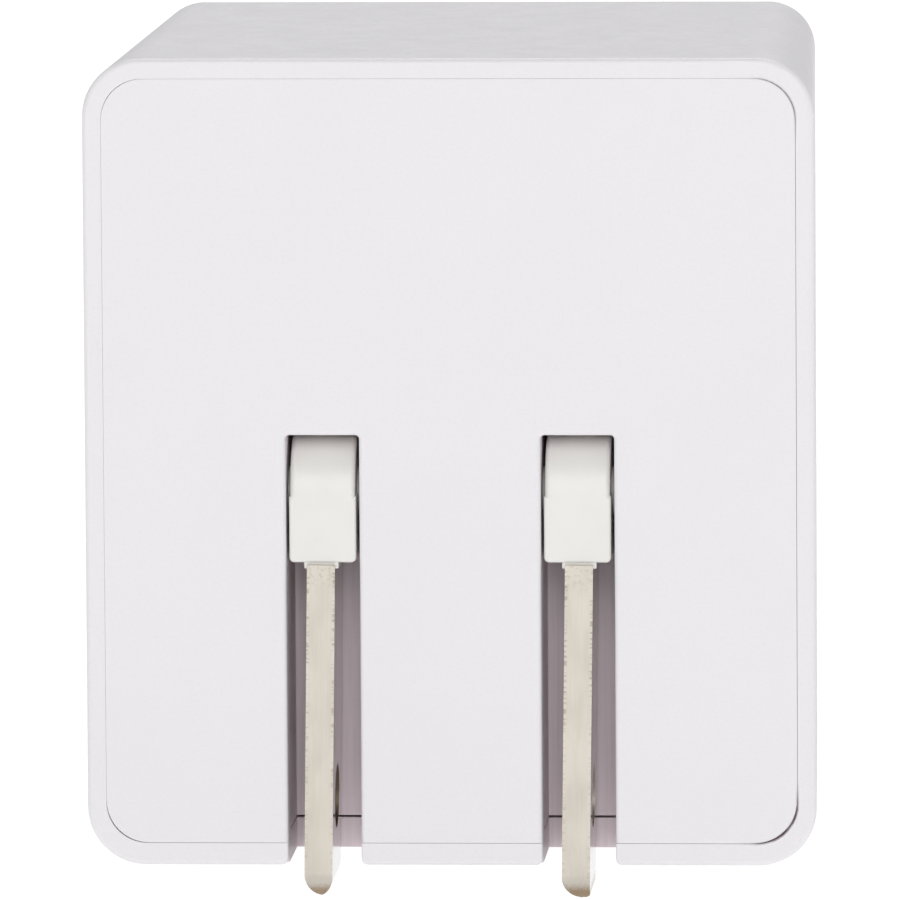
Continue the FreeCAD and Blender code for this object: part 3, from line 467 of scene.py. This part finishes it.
def shell_section(half_w, half_h):
    """Points round the middle of the sheet: each one's place (x, z), outward direction and distance
    from the middle of the nearest finger."""
    walls = (((0, -1), half_w, half_h, [-FINGER_X, FINGER_X]), ((1, 0), half_h, half_w, [0.0]),
             ((0, 1), half_w, half_h, [-FINGER_X, FINGER_X]), ((-1, 0), half_h, half_w, [0.0]))
    points = []
    for (out_x, out_z), reach, away, fingers in walls:
        along_x, along_z = -out_z, out_x
        stops = [-(reach - FOLD_R), reach - FOLD_R]
        for middle in fingers:
            stops += finger_stops(middle)
        if out_z < 0:
            stops += [-SEAM_HALF, SEAM_HALF]
        for stop in sorted(stops):
            place = Vector((along_x * stop + out_x * away, along_z * stop + out_z * away))
            near = min(fingers, key=lambda middle: abs(stop - middle))
            points.append((place, Vector((out_x, out_z)), abs(stop - near)))
        fold_x = along_x * (reach - FOLD_R) + out_x * (away - FOLD_R)
        fold_z = along_z * (reach - FOLD_R) + out_z * (away - FOLD_R)
        for step in (1, 2, 3):
            turn = step * math.pi / 8
            out = Vector((out_x, out_z)) * math.cos(turn) + Vector((along_x, along_z)) * math.sin(turn)
            points.append((Vector((fold_x, fold_z)) + out * FOLD_R, out, 1.0))
    return points


def finger_dip(inward):
    """How far a finger leans into the socket, at a distance in from the mouth."""
    share = (FINGER_ROOT - inward) / (FINGER_ROOT - FINGER_TIP)
    return FINGER_DIP * math.sin(min(max(share, 0.0), 1.0) * math.pi * FINGER_CURL)


def cut_away(point, other, inward, next_inward):
    """True for a patch of sheet that is part of a slit or of the seam."""
    middle = (point[0] + other[0]) / 2
    if abs(middle.x) < SEAM_HALF and middle.y < 0:
        return True
    aside = (point[2] + other[2]) / 2
    depth = (inward + next_inward) / 2
    beside = FINGER_HALF < aside < FINGER_HALF + CUT and FINGER_TIP - CUT < depth < FINGER_ROOT
    before = aside < FINGER_HALF and FINGER_TIP - CUT < depth < FINGER_TIP
    return beside or before


def shell_mesh(node):
    """The middle surface of a socket's sheet, ring by ring from its mouth inwards."""
    low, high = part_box(node)
    middle = (low + high) / 2
    half_w = (high.x - low.x - SHEET) / 2
    half_h = (high.z - low.z - SHEET) / 2
    section = shell_section(half_w, half_h)
    inwards = [0.0, LIP * 0.3, LIP * 0.6, LIP, FINGER_TIP - CUT, FINGER_TIP]
    inwards += [FINGER_TIP + (FINGER_ROOT - FINGER_TIP) * step / 8 for step in range(1, 9)]
    inwards.append(high.y - low.y)
    form = bmesh.new()
    rings = []
    for inward in inwards:
        flare = LIP_OUT * max(0.0, 1 - inward / LIP) ** 2
        ring = []
        for place, out, aside in section:
            on_finger = aside < FINGER_HALF + CUT / 2 and FINGER_TIP <= inward <= FINGER_ROOT
            spot = place + out * (-finger_dip(inward) if on_finger else flare)
            ring.append(form.verts.new((middle.x + spot.x, high.y - inward, middle.z + spot.y)))
        rings.append(ring)
    for row in range(len(inwards) - 1):
        for index, point in enumerate(section):
            after = (index + 1) % len(section)
            if not cut_away(point, section[after], inwards[row], inwards[row + 1]):
                form.faces.new((rings[row][index], rings[row][after],
                                rings[row + 1][after], rings[row + 1][index]))
    loose = [vert for vert in form.verts if not vert.link_faces]
    bmesh.ops.delete(form, geom=loose, context="VERTS")
    bmesh.ops.recalc_face_normals(form, faces=form.faces)
    mesh = bpy.data.meshes.new(node + "_sheet")
    form.to_mesh(mesh)
    form.free()
    return mesh


def socket_shell(node, material):
    """Folded sheet-metal USB-A shell: flared lip, six spring fingers in their slits, and the seam below."""
    mesh = shell_mesh(node)
    mesh.materials.append(material)
    piece = bpy.data.objects.new(node + "_sheet", mesh)
    bpy.context.scene.collection.objects.link(piece)
    thick = piece.modifiers.new("thickness", "SOLIDIFY")
    thick.thickness = SHEET
    thick.offset = 0
    soft = piece.modifiers.new("soft_edges", "BEVEL")
    soft.width = SHEET_EDGE
    soft.segments = 2
    soft.angle_limit = math.radians(40)
    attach(piece, "casing")
    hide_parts(node)


def make_sockets():
    steel = nodes["usb_shell_upper"].data.materials[0]
    for node in ("usb_shell_upper", "usb_shell_lower"):
        socket_shell(node, steel)


# ---------------------------------------------------------------- the whole

def paint_nodes():
    colours = {entry["slot"]: entry["base_color"][:3] for entry in record["materials"]}
    special = {"casing_plastic": shell_plastic, "plate_plastic": plate_plastic,
               "hub_plastic": hub_plastic, "blade_nickel": blade_nickel}
    sheets = ("screw_steel", "spring_bronze", "spring_steel", "copper_wire", "tinned_pin",
              "capacitor_can", "socket_steel", "contact_gold")
    made = {}
    for slot, colour in colours.items():
        if slot in special:
            made[slot] = special[slot](slot)
        elif slot in sheets:
            made[slot] = sheet_metal(slot, colour)
        elif slot == "board_laminate":
            made[slot] = laminate(slot, colour)
        else:
            made[slot] = moulded(slot, colour)
    for part in record["subparts"]:
        mesh = nodes[part["node"]].data
        for index in range(len(mesh.materials)):
            mesh.materials[index] = made[part["material_slot"]]


make_camera()
make_light()
make_floor()
paint_nodes()
make_sockets()
